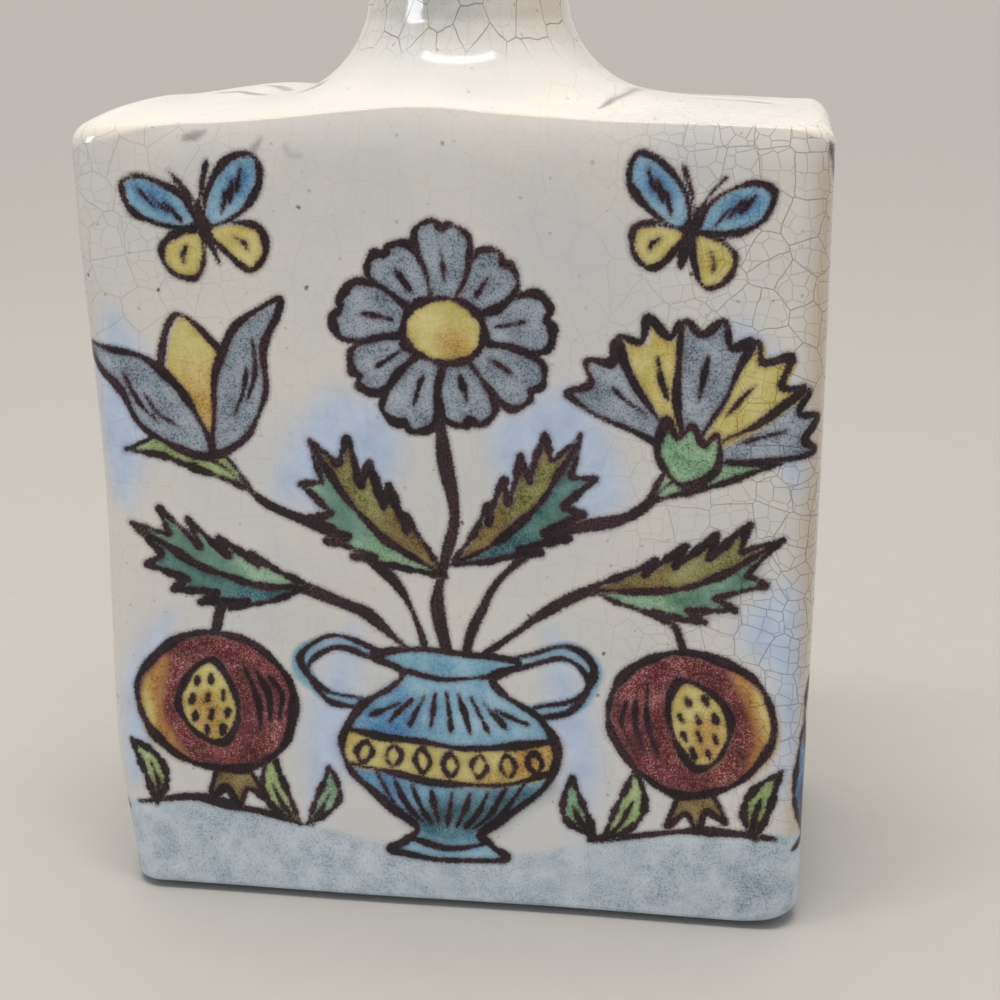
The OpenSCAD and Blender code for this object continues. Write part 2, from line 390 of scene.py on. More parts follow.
# rosette: lobes set evenly round a yellow heart, each with a short vein
def paintRosette(marks, at, radius, petals=9, turn=8.0, heart=0.34, colour="petal", inkWidth=1.4):
    at = np.asarray(at, float)
    step = 2 * np.pi / petals
    lobe = np.array([(0.26, -0.34), (0.62, -0.52), (0.90, -0.40), (0.97, -0.12), (0.93, 0.0), (0.99, 0.14),
                     (0.90, 0.42), (0.60, 0.52), (0.26, 0.34)])
    for k in range(petals):
        base = np.radians(turn) + k * step
        r = radius * (1 + 0.06 * np.sin(3.1 * k + 1))
        ray = lambda s, w: at + r * s * np.array([np.cos(base + w * step), np.sin(base + w * step)])
        petal = [ray(s, w) for s, w in lobe]
        wash(marks, petal, colour, covers=True)
        line(marks, petal, inkWidth, 0.7)
        line(marks, [ray(s, 0.04) for s in (0.46, 0.60, 0.74)], inkWidth * 0.62, 0.4)
    ring = np.linspace(0, 2 * np.pi, 13)[:-1]
    middle = at + radius * heart * np.stack([1.12 * np.cos(ring), 0.92 * np.sin(ring)], -1)
    wash(marks, middle, "yellow", covers=True)
    wash(marks, at + [0.2, -0.25] * np.full(2, radius * heart) + 0.45 * (middle - at), "ochre", 1.2, 0.6)
    line(marks, middle, inkWidth, closed=True)


# tulip: a yellow middle petal between two grey ones that curl outwards
def paintTulip(marks, at, size, turn=0.0, inkWidth=1.4):
    put = lambda points: placed(points, at, size, turn)
    middle = [(-0.10, 0.05), (-0.36, 0.55), (-0.22, 0.98), (0.0, 1.24), (0.22, 0.98), (0.36, 0.55),
              (0.10, 0.05)]
    outer = np.array([(0.0, -0.06), (0.34, 0.04), (0.62, 0.36), (0.72, 0.78), (0.98, 1.20), (0.52, 1.04),
                      (0.24, 0.72), (0.10, 0.34)])
    veins = np.array([[(0.28, 0.24), (0.42, 0.42), (0.50, 0.64)],
                      [(0.44, 0.34), (0.57, 0.58), (0.64, 0.88)]])
    wash(marks, put(middle), "yellow", covers=True, spill=(0.8, -0.3))
    wash(marks, put(np.array(middle) * [0.6, 0.7]), "ochre", 1.6, 0.55)
    line(marks, put(middle), inkWidth, 0.6)
    for sign in (-1, 1):
        wash(marks, put(outer * [sign, 1]), "petal", covers=True)
        line(marks, put(outer * [sign, 1]), inkWidth, closed=True)
        for vein in veins:
            line(marks, put(vein * [sign, 1]), inkWidth * 0.6, 0.4)


# pink: a fan of notched petals over a green cup
def paintPink(marks, at, size, turn=0.0, inkWidth=1.4):
    put = lambda points: placed(points, at, size, turn)
    lobe = np.array([(0.10, -0.06), (0.55, -0.20), (0.98, -0.27), (0.90, -0.14), (1.08, -0.02),
                     (0.93, 0.10), (1.00, 0.26), (0.55, 0.20), (0.10, 0.06)])
    for angle, colour in ((-62, "petal"), (62, "petal"), (-31, "yellow"), (31, "yellow"), (0, "petal")):
        petal = placed(lobe, (0, 0), 1, 90 - angle)
        vein = placed([(0.42, 0), (0.6, 0.01), (0.78, 0)], (0, 0), 1, 90 - angle)
        spill = (0.8, -0.3) if colour == "yellow" else (0.25, -0.2)
        wash(marks, put(petal), colour, covers=True, spill=spill)
        line(marks, put(petal), inkWidth, 0.7)
        line(marks, put(vein), inkWidth * 0.6, 0.4)
    cup = [(-0.20, 0.20), (-0.22, -0.06), (0.0, -0.26), (0.22, -0.06), (0.20, 0.20), (0.10, 0.10),
           (0.0, 0.22), (-0.10, 0.10)]
    wash(marks, put(cup), "leaf", covers=True)
    line(marks, put(cup), inkWidth, closed=True)


# pomegranate: a round fruit with a toothed crown, split open on a yellow window of seeds
def paintPomegranate(marks, at, radius, turn=0.0, facing=1, inkWidth=1.5):
    put = lambda points: placed(points, at, radius, turn, facing)
    ring = np.linspace(0, 2 * np.pi, 15)[:-1]
    fruit = np.stack([np.cos(ring) * (1 + 0.03 * np.sin(3 * ring)), 0.95 * np.sin(ring)], -1)
    crown = [(-0.20, -0.90), (-0.38, -1.36), (-0.14, -1.20), (0.0, -1.46), (0.14, -1.20), (0.38, -1.36),
             (0.20, -0.90)]
    window = [(-0.10, 0.56), (0.26, 0.42), (0.46, 0.02), (0.34, -0.40), (0.02, -0.58), (-0.22, -0.30),
              (-0.28, 0.14)]
    wash(marks, put(crown), "olive", covers=True)
    line(marks, put(crown), inkWidth * 0.9, 0.7)
    wash(marks, put(fruit), "oxblood", covers=True)
    blush = [(0.55, 0.72), (0.98, 0.2), (0.94, -0.4), (0.62, -0.74), (0.74, -0.1)]
    wash(marks, put(blush), "ochre", 1.4, 0.85)
    wash(marks, put([(0.80, 0.45), (0.98, 0.1), (0.92, -0.4), (0.84, 0.0)]), "yellow", 0.9, 0.9)
    wash(marks, put(window), "yellow", covers=True)
    wash(marks, put(np.array(window) * 0.55 + [0.1, -0.16]), "ochre", 1.3, 0.7)
    line(marks, put(fruit), inkWidth, closed=True)
    line(marks, put(window), inkWidth * 0.85, closed=True)
    for row, count in ((0.30, 2), (0.06, 3), (-0.18, 3), (-0.40, 2)):  # seeds
        for k in range(count):
            x = 0.06 + 0.20 * (k - 0.5 * (count - 1))
            line(marks, put([(x, row + 0.05), (x + 0.03, row - 0.05)]), 0.95, 0.9)
    for k in range(3):  # brush strokes that round the fruit
        s = 0.46 + 0.15 * k
        stroke = [(-s, 0.52 - 0.10 * k), (-s - 0.10, 0.02), (-s, -0.46 + 0.08 * k)]
        line(marks, put(stroke), inkWidth * 0.62, 0.4)


# butterfly: two pairs of wings about a slim body, with spots and feelers
def paintButterfly(marks, at, size, turn=0.0, colours=("sky", "blue", "yellow"), inkWidth=1.0):
    put = lambda points: placed(points, at, size, turn)
    upper = np.array([(0.06, 0.10), (0.22, 0.52), (0.66, 0.84), (1.0, 0.80), (0.98, 0.42), (0.62, 0.12),
                      (0.20, 0.0)])
    lower = np.array([(0.06, -0.04), (0.40, -0.02), (0.72, -0.20), (0.70, -0.54), (0.42, -0.72),
                      (0.20, -0.48)])
    spot = np.array([(0.36, -0.22), (0.46, -0.34), (0.48, -0.46)])
    feeler = np.array([(0.03, 0.30), (0.16, 0.62), (0.30, 0.86)])
    for sign in (-1, 1):
        flip = np.array([sign, 1])
        wash(marks, put(lower * flip), colours[2], covers=True)
        line(marks, put(lower * flip), inkWidth, closed=True)
        line(marks, put(spot * flip), inkWidth * 0.6, 0.5)
        wash(marks, put(upper * flip), colours[0], covers=True)
        wash(marks, put((upper * 0.55 + [0.34, 0.28]) * flip), colours[1], 1.5, 0.9)
        line(marks, put(upper * flip), inkWidth, closed=True)
        for x, y in ((0.40, 0.34), (0.56, 0.48), (0.72, 0.60)):
            vein = np.array([(x - 0.10, y - 0.20), (x + 0.06, y + 0.08)])
            line(marks, put(vein * flip), inkWidth * 0.8, 0.7)
        line(marks, put(feeler * flip), inkWidth * 0.8, 0.7)
    line(marks, put([(0.0, 0.34), (0.02, 0.0), (0.0, -0.56)]), 1.6 * inkWidth, 0.6)


# footed pot: a mirrored outline in blue washes, a yellow band, hatched bosses and two handles
def paintPot(marks, at, scale=1.0, inkWidth=1.5):
    put = lambda points: placed(points, at, scale)
    right = np.array([(7.6, 0.0), (6.4, 2.0), (4.6, 4.4), (8.6, 7.4), (13.8, 12.4), (15.6, 17.8),
                      (13.2, 22.8), (8.2, 26.2), (6.6, 28.4), (9.8, 31.4)])
    pot = np.vstack([right, right[::-1] * [-1, 1]])
    low = np.array([(-14.6, 14.2), (-7.5, 12.4), (0, 11.8), (7.5, 12.4), (14.6, 14.2)])
    high = np.array([(-15.2, 19.6), (-7.5, 18.0), (0, 17.4), (7.5, 18.0), (15.2, 19.6)])
    for sign in (-1, 1):
        handle = np.array([(12.6, 23.6), (18.6, 25.2), (20.8, 29.6), (16.6, 33.0), (9.8, 31.0)]) * [sign, 1]
        line(marks, put(handle), 3.0, 0.8, pigment="sky")
        line(marks, put(handle + [0.0, 0.9]), inkWidth * 0.8, 0.6)
        line(marks, put(handle * [0.96, 1] - [0.0, 0.9]), inkWidth * 0.8, 0.6)
    wash(marks, put(pot), "sky", covers=True)
    leftShade = [(-14, 13), (-15.4, 18), (-13, 22.6), (-8, 26), (-4, 22), (-7, 15), (-5, 6)]
    wash(marks, put(leftShade), "blue", 2.6, 0.95)
    footShade = [(14, 12.4), (8.6, 7.4), (4.6, 4.4), (-2, 3.0), (-6, 6.5), (2, 10.5)]
    wash(marks, put(footShade), "teal", 2.4, 0.85)
    wash(marks, put(np.vstack([low, high[::-1]])), "yellow", 0.5, 0.95)
    wash(marks, put([(4, 12.6), (14.6, 14.6), (15, 19), (9, 18), (8, 15)]), "ochre", 1.8, 0.75)
    line(marks, put(pot), inkWidth, closed=True)
    line(marks, put(low), inkWidth * 0.9, 0.8)
    line(marks, put(high), inkWidth * 0.9, 0.8)
    for k in range(-3, 4):  # lozenges along the band
        x, y = 4.1 * k, 14.7 + 0.14 * k * k
        lozenge = [(x - 1.1, y), (x, y + 1.7), (x + 1.1, y), (x, y - 1.7)]
        line(marks, put(lozenge), inkWidth * 0.6, closed=True)
    for k in range(-4, 5):  # hatching above and below the band
        x = 2.9 * k
        above = [(x, 19.6 + 0.016 * x * x), (0.86 * x, 22.4), (0.62 * x, 25.4 - 0.012 * x * x)]
        below = [(0.92 * x, 10.4 + 0.02 * x * x), (0.66 * x, 7.8), (0.40 * x, 5.2)]
        for hatch in (above, below):
            line(marks, put(hatch), inkWidth * 0.62, 0.5)
    line(marks, put([(-6.0, 2.6), (0, 1.8), (6.0, 2.6)]), inkWidth * 0.8, 0.7)
    line(marks, put([(-7.2, 28.6), (0, 27.6), (7.2, 28.6)]), inkWidth * 0.8, 0.7)


# grey-blue ground with strokes along parts of its upper edge and a grey wash of painted shade over its
# right part, in shares of the half width and the rise
def paintBank(marks, half, rise):
    crest = np.array([(-1.30, 0.75), (-0.92, 1.0), (-0.60, 0.98), (-0.30, 0.74), (0.0, 0.64), (0.30, 0.72),
                      (0.62, 1.0), (0.94, 1.04), (1.30, 0.80)]) * [half, rise]
    wash(marks, np.vstack([[(-1.3 * half, -8)], crest, [(1.3 * half, -8)]]), "bank", 0.7, 0.95)
    # painted shade: a faint grey wash darkens the right part of the ground
    paintedShade = np.array([(0.50, 0.2), (0.72, 0.7), (0.93, 0.7), (0.96, 0.2)])
    wash(marks, paintedShade * [half, rise], "petal", 4.0, 0.3)
    stroke = np.array([(0.97, 0.98), (0.80, 1.06), (0.62, 1.0), (0.42, 0.84)])
    for sign in (-1, 1):
        line(marks, stroke * [sign * half, rise], 1.6)


# blue washed loosely behind the plant
def paintHalo(marks, blobs):
    for blob in blobs:
        wash(marks, blob, "halo", 3.0, 0.85)


# front, in mm from its middle and up from the floor: a pot with a flowering plant between two fruits
def frontPicture():
    marks = []
    paintHalo(marks, [[(-48, 18), (-47, 34), (-40, 44), (-44, 24)],
                      [(46, 20), (45, 38), (40, 46), (47, 52), (49, 34)],
                      [(-19, 14), (-21, 30), (-13, 44), (-15, 26)],
                      [(18, 14), (21, 30), (14, 44), (15, 26)],
                      [(-24, 64), (-12, 60), (-6, 72), (-16, 78)],
                      [(24, 64), (12, 60), (6, 72), (17, 79)],
                      [(-46, 60), (-40, 76), (-46, 88), (-49, 72)],
                      [(38, 88), (46, 80), (47, 66), (42, 74)]])
    paintBank(marks, 48, 14.5)
    line(marks, [(0.3, 39), (-1.2, 50), (0.9, 61), (-0.3, 73)], 2.3, 0.8)
    for side, lift in ((-1, 0), (1, 1.2)):
        flip = np.array([side, 1])
        upper = np.array([(2.5, 39), (6, 49 + lift), (15, 57 + lift), (25, 61.5), (31.5, 69)])
        lower = np.array([(4, 39), (12, 46), (22, 49.5 + lift), (31, 47), (33.5, 41)])
        line(marks, upper * flip, 1.9, 0.7)
        line(marks, lower * flip, 1.8, 0.75)
        paintBlade(marks, (22 * side, 12.5), (26 * side, 24), 1.9, -0.16 * side, "lime")
        paintBlade(marks, (21 * side, 12.5), (17.5 * side, 22), 1.6, 0.18 * side)
        paintBlade(marks, (44 * side, 14), (46.5 * side, 25), 1.7, 0.14 * side, "lime")
    paintLeaf(marks, (-19, 49.5), (-45, 57.5), 5.0, 0.10, 4, ("teal", "leaf"))
    paintLeaf(marks, (19.5, 50.5), (45, 58.5), 5.2, -0.10, 4, ("olive", "leaf"))
    paintLeaf(marks, (-0.4, 52), (-18.5, 71), 5.4, 0.12, 4, ("leaf", "olive"))
    paintLeaf(marks, (0.6, 54), (18.5, 72.5), 5.4, -0.12, 4, ("olive", "teal"))
    paintBlade(marks, (-27, 63.5), (-44.5, 68.5), 2.4, -0.14, "lime")
    paintBlade(marks, (27, 63.5), (44.5, 69.5), 2.5, 0.14, "leaf")
    paintRosette(marks, (0, 86), 14.2)
    paintTulip(marks, (-32, 69), 15.0, 14)
    paintPink(marks, (32.5, 70.5), 17.0, -12)
    paintPomegranate(marks, (-33.5, 31), 11.2, -8, -1)
    paintPomegranate(marks, (34, 31.5), 11.2, 6, 1)
    paintPot(marks, (0, 8.5))
    paintButterfly(marks, (-31, 99.5), 9.2, 14)
    paintButterfly(marks, (32, 100), 8.8, -16)
    for points, width, strength in (([(-33.6, 110.7), (-32.0, 111.1), (-30.4, 111.8)], 1.0, 0.55),
                                    ([(-24.1, 109.8), (-23.5, 110.3), (-22.9, 111.1)], 0.9, 0.50),
                                    ([(-19.8, 110.2), (-19.2, 108.8), (-17.6, 108.4)], 1.1, 0.25)):
        line(marks, points, width, 0.3, pigment="faded", strength=strength)  # grey touches below the crest
    return marks


# back: a flowering plant that grows from the bank
def backPicture():
    marks = []
    paintHalo(marks, [[(-40, 24), (-30, 48), (-16, 40), (-20, 22)],
                      [(40, 26), (30, 50), (17, 42), (20, 24)],
                      [(-12, 56), (-16, 76), (-8, 92), (-4, 70)],
                      [(14, 56), (16, 78), (9, 92), (5, 72)]])
    paintBank(marks, 48, 13)
    line(marks, [(0.4, 8), (-1.8, 24), (1.4, 42), (-0.8, 58), (0, 72)], 2.4, 0.8)
    for side in (-1, 1):
        flip = np.array([side, 1])
        line(marks, np.array([(0.5, 36), (9, 47), (20, 53), (28, 62)]) * flip, 1.9, 0.7)
        line(marks, np.array([(0.4, 20), (13, 28), (27, 30), (37, 38)]) * flip, 1.8, 0.7)
        paintBlade(marks, (28 * side, 31), (44 * side, 26), 2.6, 0.14 * side, "lime")
        paintBlade(marks, (20 * side, 53), (38 * side, 51), 2.6, -0.12 * side)
        paintBlade(marks, (41 * side, 12), (45 * side, 22), 1.8, 0.12 * side, "lime")
    paintLeaf(marks, (-1, 13), (-25, 23), 4.8, 0.10, 4, ("leaf", "olive"))
    paintLeaf(marks, (0.6, 14), (25, 24), 4.8, -0.10, 4, ("teal", "leaf"))
    paintLeaf(marks, (0, 44), (-19, 66), 5.2, 0.12, 4, ("olive", "leaf"))
    paintLeaf(marks, (0.4, 46), (19, 67), 5.2, -0.12, 4, ("leaf", "teal"))
    paintTulip(marks, (0, 72), 23.0)
    paintRosette(marks, (-31, 73), 12.4, 8, 20, colour="oxblood")
    paintRosette(marks, (31, 74), 12.4, 8, 4, colour="sky")
    paintTulip(marks, (-38.5, 38), 9.6, 18)
    paintTulip(marks, (38.5, 38.5), 9.6, -18)
    paintButterfly(marks, (-33, 98), 7.8, -10)
    paintButterfly(marks, (33, 99), 7.8, 12)
    return marks


# flowering branch for the narrow sides; side is -1 or 1
def branchPicture(side):
    marks = []
    paintHalo(marks, [[(-14, 22), (-12, 50), (-4, 60), (-6, 30)], [(12, 40), (14, 66), (6, 78), (5, 52)]])
    paintBank(marks, 24, 13)
    line(marks, np.array([(0, 8), (-3, 26), (2.5, 48), (-1.5, 66), (0.5, 80)]) * [side, 1], 2.2, 0.8)
    paintLeaf(marks, (-2 * side, 24), (-17 * side, 41), 4.6, 0.12 * side, 4, ("leaf", "olive"))
    paintLeaf(marks, (0, 34), (16.5 * side, 52), 4.6, -0.12 * side, 4, ("olive", "leaf"))
    paintBlade(marks, (2 * side, 50), (-13 * side, 63), 2.7, 0.14 * side, "lime")
    paintBlade(marks, (0, 60), (13.5 * side, 72), 2.7, -0.14 * side)
    paintBlade(marks, (9 * side, 12), (14 * side, 24), 1.9, 0.14 * side, "lime")
    paintBlade(marks, (-10 * side, 12), (-14 * side, 21), 1.7, -0.14 * side)
    return marks


# left side: the branch ends in a pink
def leftPicture():
    marks = branchPicture(-1)
    paintPink(marks, (-0.5, 82), 16.0, 4)
    return marks


# right side: the branch ends in a tulip, and a blade and two strokes lie close to the front edge
def rightPicture():
    marks = branchPicture(1)
    paintTulip(marks, (0.5, 80), 16.0, -4)
    paintBlade(marks, (-18.6, 12), (-22.2, 32), 1.9, 0.08, "blue")
    line(marks, [(-20.4, 38.5), (-22.0, 35.5), (-22.4, 32)], 1.5)
    line(marks, [(-19.8, 105.2), (-21.3, 108.2), (-22.4, 110.6)], 2.0, 0.5, pigment="faded", strength=0.9)
    return marks


# faded leaf strokes on the shoulder, to the left and right of the neck
def topPicture():
    marks = []
    for points, width in (([(-39, 18), (-33, 20), (-26, 17)], 2.6),
                          ([(-38, 4), (-34, 3), (-29, -2)], 2.8),
                          ([(-24, -3), (-22, -6), (-19, -8)], 2.2),
                          ([(-33, 11), (-29, 8), (-26, 2)], 2.0),
                          ([(19.5, -18), (22.5, -7), (26.5, 12)], 0.9),
                          ([(29, 13), (36, 16), (42, 12)], 2.8),
                          ([(31, 3), (37, 5), (42, 2)], 2.6)):
        line(marks, points, width, 0.3, pigment="faded", strength=0.75)
    return marks


wallHeights = bodyGrid[:topFirst + 1, :, 2]
sheets = []
pictures = dict(front=frontPicture, right=rightPicture, back=backPicture, left=leftPicture)
for name, picture in pictures.items():
    reach = (ringS - wallMiddle[name] + 0.5 * ringLength) % ringLength - 0.5 * ringLength
    near = np.abs(reach) < 0.5 * wallSpan[name] + 6
    u = np.broadcast_to(reach, wallHeights.shape)[:, near]
    sheet = compose(picture(), u.ravel(), wallHeights[:, near].ravel())
    sheets.append((near, {key: value.reshape(u.shape + value.shape[1:]) for key, value in sheet.items()}))
    print("  painted", name)

# one sheet for the whole body: where two pictures meet at a corner, the one with more cover shows
bodyShape = bodyGrid.shape[:2]
paint = dict(hue=np.zeros(bodyShape + (3,)), cover=np.zeros(bodyShape), speck=np.zeros(bodyShape),
             ink=np.full(bodyShape, -inkReach))
for near, sheet in sheets:
    rows = slice(0, topFirst + 1)
    more = sheet["cover"] > paint["cover"][rows, near]
    for key in ("cover", "speck"):
        paint[key][rows, near] = np.where(more, sheet[key], paint[key][rows, near])
    paint["hue"][rows, near] = np.where(more[..., None], sheet["hue"], paint["hue"][rows, near])
    paint["ink"][rows, near] = np.maximum(paint["ink"][rows, near], sheet["ink"])
topX, topY = bodyGrid[topFirst + 1:, :, 0], bodyGrid[topFirst + 1:, :, 1]
for key, value in compose(topPicture(), topX.ravel(), topY.ravel()).items():
    paint[key][topFirst + 1:] = value.reshape(paint[key][topFirst + 1:].shape)

# how the glaze lies on the body: shares of thin glaze along the upright edges, from the front right one
# round, and on the rim, with their reach in mm and in rows; crackle's least share on the walls and what is
# added to the right and the upper left, its share at the foot, and the least on top and what is added there
glazeLie = dict(edges=(1.0, 0.8, 0.8, 0.25), edgeReach=2.1, rim=0.3, rimRows=8.0,
                wall=(0.12, 0.74, 0.32), foot=0.25, top=(0.07, 0.37))

# where the glaze runs thin: bell curves about the upright edges and the shoulder's rim
corners = np.cumsum([0.5 * wallSpan["front"]] + [wallSpan[n] for n in ("right", "back", "left")]) + 0.6
cornerness = np.exp(-((ringS[:, None] - corners) / glazeLie["edgeReach"]) ** 2) * glazeLie["edges"]
x, z = bodyGrid[..., 0], bodyGrid[..., 2]
rowNumber = np.arange(bodyShape[0])[:, None]
rim = np.exp(-((rowNumber - topFirst + 0.5 * shoulder["arcRows"]) / glazeLie["rimRows"]) ** 2)
rim = glazeLie["rim"] * rim * np.abs(ringFacing[:, 1])
paint["thinGlazeAndShade"] = np.clip(np.maximum(cornerness.max(1) * (1 - smooth(z, 106, 112)), rim), 0, 1)

# how plainly the crackle shows: eased steps across and up, one set for the walls and one for the top
least, rightMore, leftMore = glazeLie["wall"]
onWall = least + rightMore * smooth(x, 16, 46) + leftMore * smooth(-x, 18, 46) * smooth(z, 50, 100)
onWall = onWall * (glazeLie["foot"] + (1 - glazeLie["foot"]) * smooth(z, 12, 30))
onTop = glazeLie["top"][0] + glazeLie["top"][1] * smooth(x, 8, 30)
paint["crackle"] = np.where(rowNumber > topFirst, onTop, onWall)

# the surface laid flat for the crackle, in mm: round from the back left corner and up the walls, and the
# top as seen from above, set apart from them
climbed = np.cumsum(np.linalg.norm(np.diff(bodyGrid, axis=0, prepend=bodyGrid[:1]), axis=-1), 0)
ringTurn = (ringS - ringS[wallStart["left"]]) % ringLength
paint["flat"] = np.stack([np.broadcast_to(ringTurn, bodyShape), climbed], -1)
topApart = 400.0
paint["flat"][topFirst + 1:] = bodyGrid[topFirst + 1:, :, :2] + topApart


print("stage: meshes")


# builds a closed piece: its outer grid's own normals, flat ones elsewhere, the painting on its vertices,
# and the laid flat place on its face corners, where a face across the end of the turn has its low corners
# moved on by a turn
def makePiece(name, nodes, vertices, faces, outerFaces, outerNormals, colours, turnLength=ringLength):
    mesh = bpy.data.meshes.new(name)
    mesh.from_pydata((vertices * mm).tolist(), [], faces)
    for key, kind in (("hue", "FLOAT_COLOR"), ("cover", "FLOAT"), ("speck", "FLOAT"), ("ink", "FLOAT"),
                      ("thinGlazeAndShade", "FLOAT"), ("crackle", "FLOAT")):
        values = colours[key]
        layer = mesh.attributes.new(key, kind, "POINT")
        if kind == "FLOAT":
            full = np.zeros(len(vertices))
            full[:len(values)] = values
            layer.data.foreach_set("value", full)
        else:
            full = np.ones((len(vertices), 4))
            full[:len(values), :3] = values
            layer.data.foreach_set("color", full.ravel())
    mesh.shade_smooth()
    mesh.set_sharp_from_angle(angle=0.9)
    loopVertex = np.zeros(len(mesh.loops), int)
    mesh.loops.foreach_get("vertex_index", loopVertex)
    loopNormal = np.zeros((len(mesh.loops), 3))
    loopNormal[:4 * outerFaces] = outerNormals[loopVertex[:4 * outerFaces]]
    mesh.normals_split_custom_set(loopNormal)
    flat = np.zeros((len(mesh.loops), 3))
    flat[:4 * outerFaces, :2] = colours["flat"][loopVertex[:4 * outerFaces]]
    across = flat[:4 * outerFaces, 0].reshape(-1, 4)
    behind = across.max(1, keepdims=True) - across > 0.5 * turnLength
    flat[:4 * outerFaces, 0] = np.where(behind, across + turnLength, across).ravel()
    mesh.attributes.new("flat", "FLOAT_VECTOR", "CORNER").data.foreach_set("vector", flat.ravel())
    piece = bpy.data.objects.new(name, mesh)
    bpy.context.scene.collection.objects.link(piece)
    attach(piece, "root")
    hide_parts(*nodes)
    return piece


# vertex numbers of a grid, row by row from a first one
def numbered(rows, cols, first=0):
    return first + np.arange(rows * cols).reshape(rows, cols)


# quads of a numbered grid, each counted round from its lower left; a closed grid joins its last column to
# its first
def gridQuads(number, closed=False):
    if closed:
        number = np.hstack([number, number[:, :1]])
    quad = [number[:-1, :-1], number[:-1, 1:], number[1:, 1:], number[1:, :-1]]
    return np.stack(quad, -1).reshape(-1, 4)


# grid that carries a line of points, given across and along, up through some heights
def raised(points, heights):
    shape = (len(heights), len(points))
    return np.concatenate([np.broadcast_to(points, shape + (2,)),
                           np.broadcast_to(heights[:, None, None], shape + (1,))], -1)


fineSteps = 6  # steps of an outer grid to one step of the plain faces behind it


# rim between a fine edge and a coarse one: each face takes several fine steps and one coarse step
def rimFaces(fine, coarse):
    ends = np.arange(0, len(fine) - 1, fineSteps)[:, None]
    k = np.arange(len(coarse) - 1)[:, None]
    return np.hstack([fine[ends + np.arange(fineSteps + 1)], coarse[k + 1], coarse[k]])


# the painting on some rows and columns, vertex by vertex; the ink's distance is moved so that 0 is far from
# any line
def paintOf(rows, cols):
    picked = {key: value[rows][:, cols].reshape((-1,) + value.shape[2:]) for key, value in paint.items()}
    picked["ink"] = picked["ink"] + inkReach
    return picked


# a wall: the fine outer grid, a coarse inner face, and rims at the foot, the seam and both mitres
def makeWall(name):
    cols = (wallStart[name] + np.arange(len(columns[name][0]))) % ringCount
    rows = np.arange(wallRows + 1)
    outer = bodyGrid[rows][:, cols]
    high, wide = outer.shape[:2]
    half, away, out, side = wallPlace(name)
    along = np.linspace(vase["wallT"] - half, half - vase["wallT"], (wide - 1) // fineSteps + 1)
    heights = np.linspace(vase["foot"], vase["wallTop"], (high - 1) // fineSteps + 1)
    inner = raised(along[:, None] * side + (away - vase["wallT"]) * out, heights)
    number = numbered(high, wide)
    back = numbered(*inner.shape[:2], first=number.size)
    outerQuads = gridQuads(number)
    innerQuads = gridQuads(back)[:, ::-1]
    rims = np.vstack([rimFaces(number[0], back[0])[:, ::-1], rimFaces(number[-1], back[-1]),
                      rimFaces(number[:, 0], back[:, 0]), rimFaces(number[:, -1], back[:, -1])[:, ::-1]])
    faces = outerQuads.tolist() + innerQuads.tolist() + rims.tolist()
    vertices = np.vstack([outer.reshape(-1, 3), inner.reshape(-1, 3)])
    normals = bodyNormals[rows][:, cols].reshape(-1, 3)
    return makePiece("glazed_" + name + "_wall", [name + "_wall"], vertices, faces, len(outerQuads),
                     normals, paintOf(rows, cols))


# the shoulder: fine outer grid up to the collar's seam, then the collar's top, the hole and the underside
def makeShoulder():
    rows = np.arange(wallRows, bodyShape[0])
    cols = np.arange(ringCount)
    outer = bodyGrid[rows]
    high = len(rows)
    holeR = neck["throatR"] - neck["wall"] + neck["spigotT"] + neck["gap"]
    angle = ringAngle[::fineSteps]
    ring = holeR * np.stack([np.cos(angle), np.sin(angle)], -1)
    hole = raised(ring, np.linspace(vase["collarTop"], vase["wallTop"], shoulder["holeRows"]))
    number = numbered(high, ringCount)
    inside = numbered(*hole.shape[:2], first=number.size)
    loop = lambda edge: np.append(edge, edge[0])
    outerQuads = gridQuads(number, closed=True)
    holeQuads = gridQuads(inside, closed=True)
    rims = np.vstack([rimFaces(loop(number[-1]), loop(inside[0])),
                      rimFaces(loop(number[0]), loop(inside[-1]))[:, ::-1]])
    faces = outerQuads.tolist() + holeQuads.tolist() + rims.tolist()
    vertices = np.vstack([outer.reshape(-1, 3), hole.reshape(-1, 3)])
    return makePiece("glazed_shoulder", ["shoulder_slab"], vertices, faces, len(outerQuads),
                     bodyNormals[rows].reshape(-1, 3), paintOf(rows, cols))


# arc in the neck's half section: radius and height along a circle between two angles in degrees
def sectionArc(centre, radius, start, end, count):
    a = np.radians(np.linspace(start, end, count))
    return np.stack([centre[0] + radius * np.cos(a), centre[1] + radius * np.sin(a)], -1)


# rows of the neck's half section
neckRows = dict(flare=36, sweep=64, lip=17, inside=20, bore=10)
# the neck's own looks: rings from throwing and out of round, in mm; thin glaze at the lip; painted shade of
# beige to the right and a painted grey reflection in the middle of the front; crackle at the seam, and
# cells that are slim and tall
neckLook = dict(rings=0.05, oval=0.18, lipThin=0.55, rightPaintedShade=0.66, grey="#9C9D9B", reflectionCover=0.8,
                seamCrackle=0.1, cellWide=1.25, cellTall=0.75)


